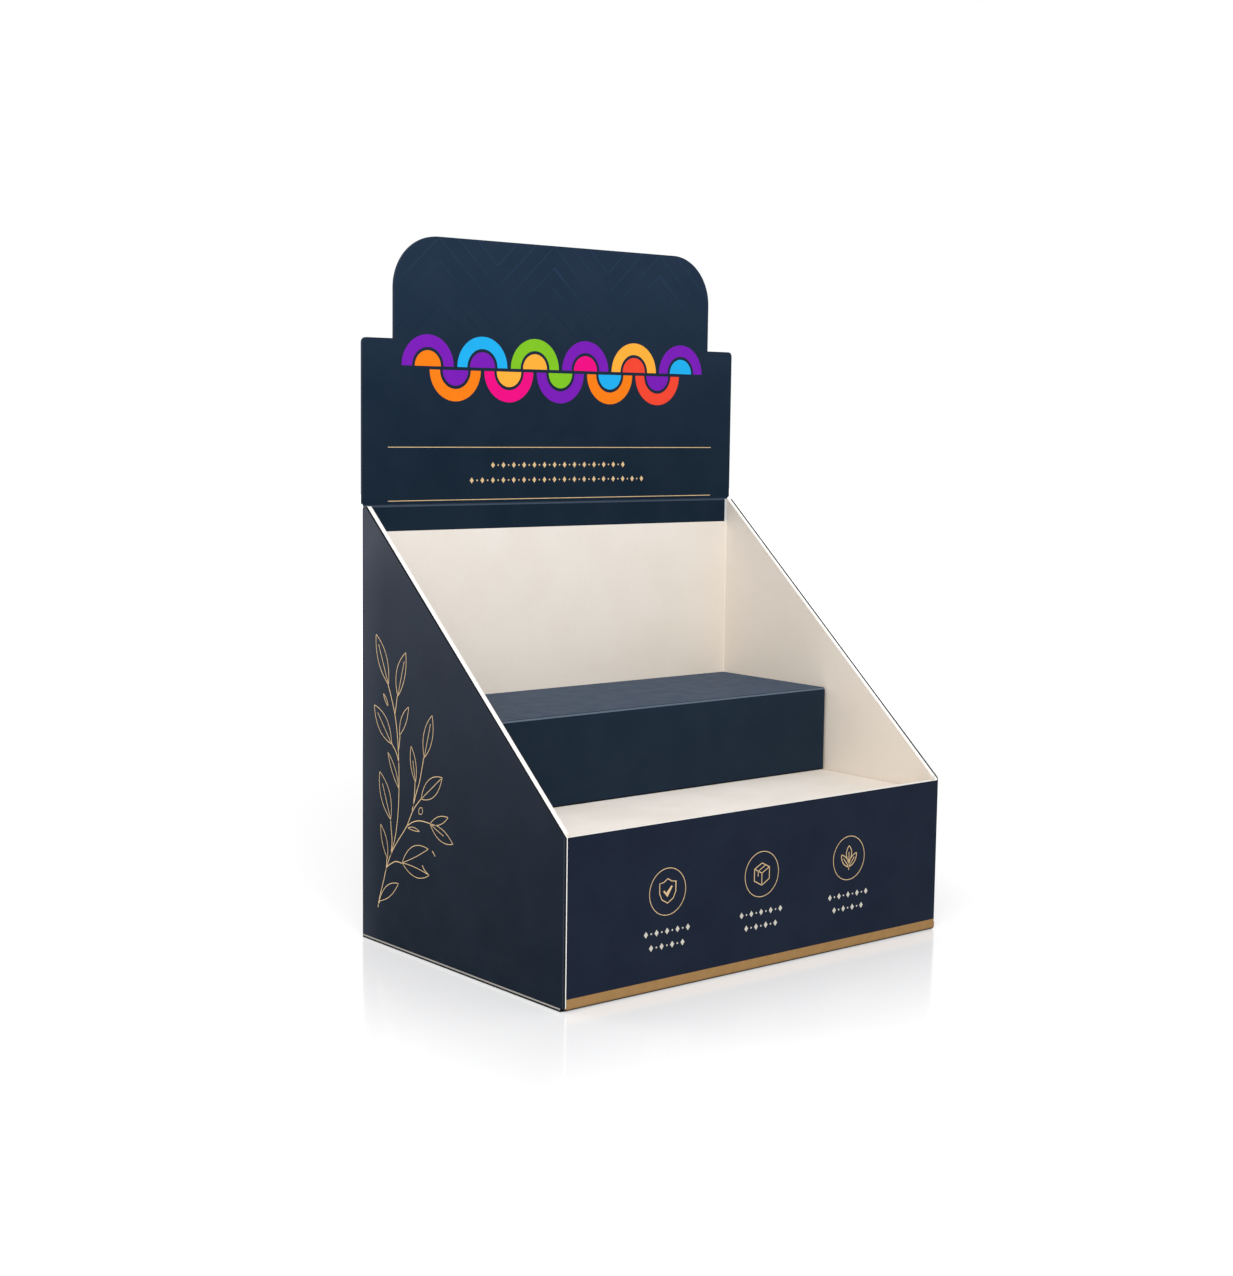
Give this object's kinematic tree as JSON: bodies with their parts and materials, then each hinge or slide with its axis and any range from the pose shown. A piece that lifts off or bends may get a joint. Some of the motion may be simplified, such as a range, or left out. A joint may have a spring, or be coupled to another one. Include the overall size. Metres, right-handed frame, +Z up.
{
  "type": "counter display box",
  "caption": "Open counter display box of folded card with slanted sides, a low front, a tall header at the back and stepped tiers for small goods.",
  "frame": {"origin": "middle of the footprint, on the plane that the base stands on", "axes": "+Z up, the front panel faces -Y, the back panel and header are at +Y, +X to the right seen from the front"},
  "size_m": [0.3, 0.202, 0.4285],
  "materials": {
    "navy_card": "matt printed face over white core",
    "cream_card": "matt uncoated face over white core"
  },
  "bodies": {
    "root": {"outer_shell": "navy_card", "inner_liner": "cream_card", "lower_tier": "cream_card", "upper_tier": "navy_card"}
  },
  "joints": []
}
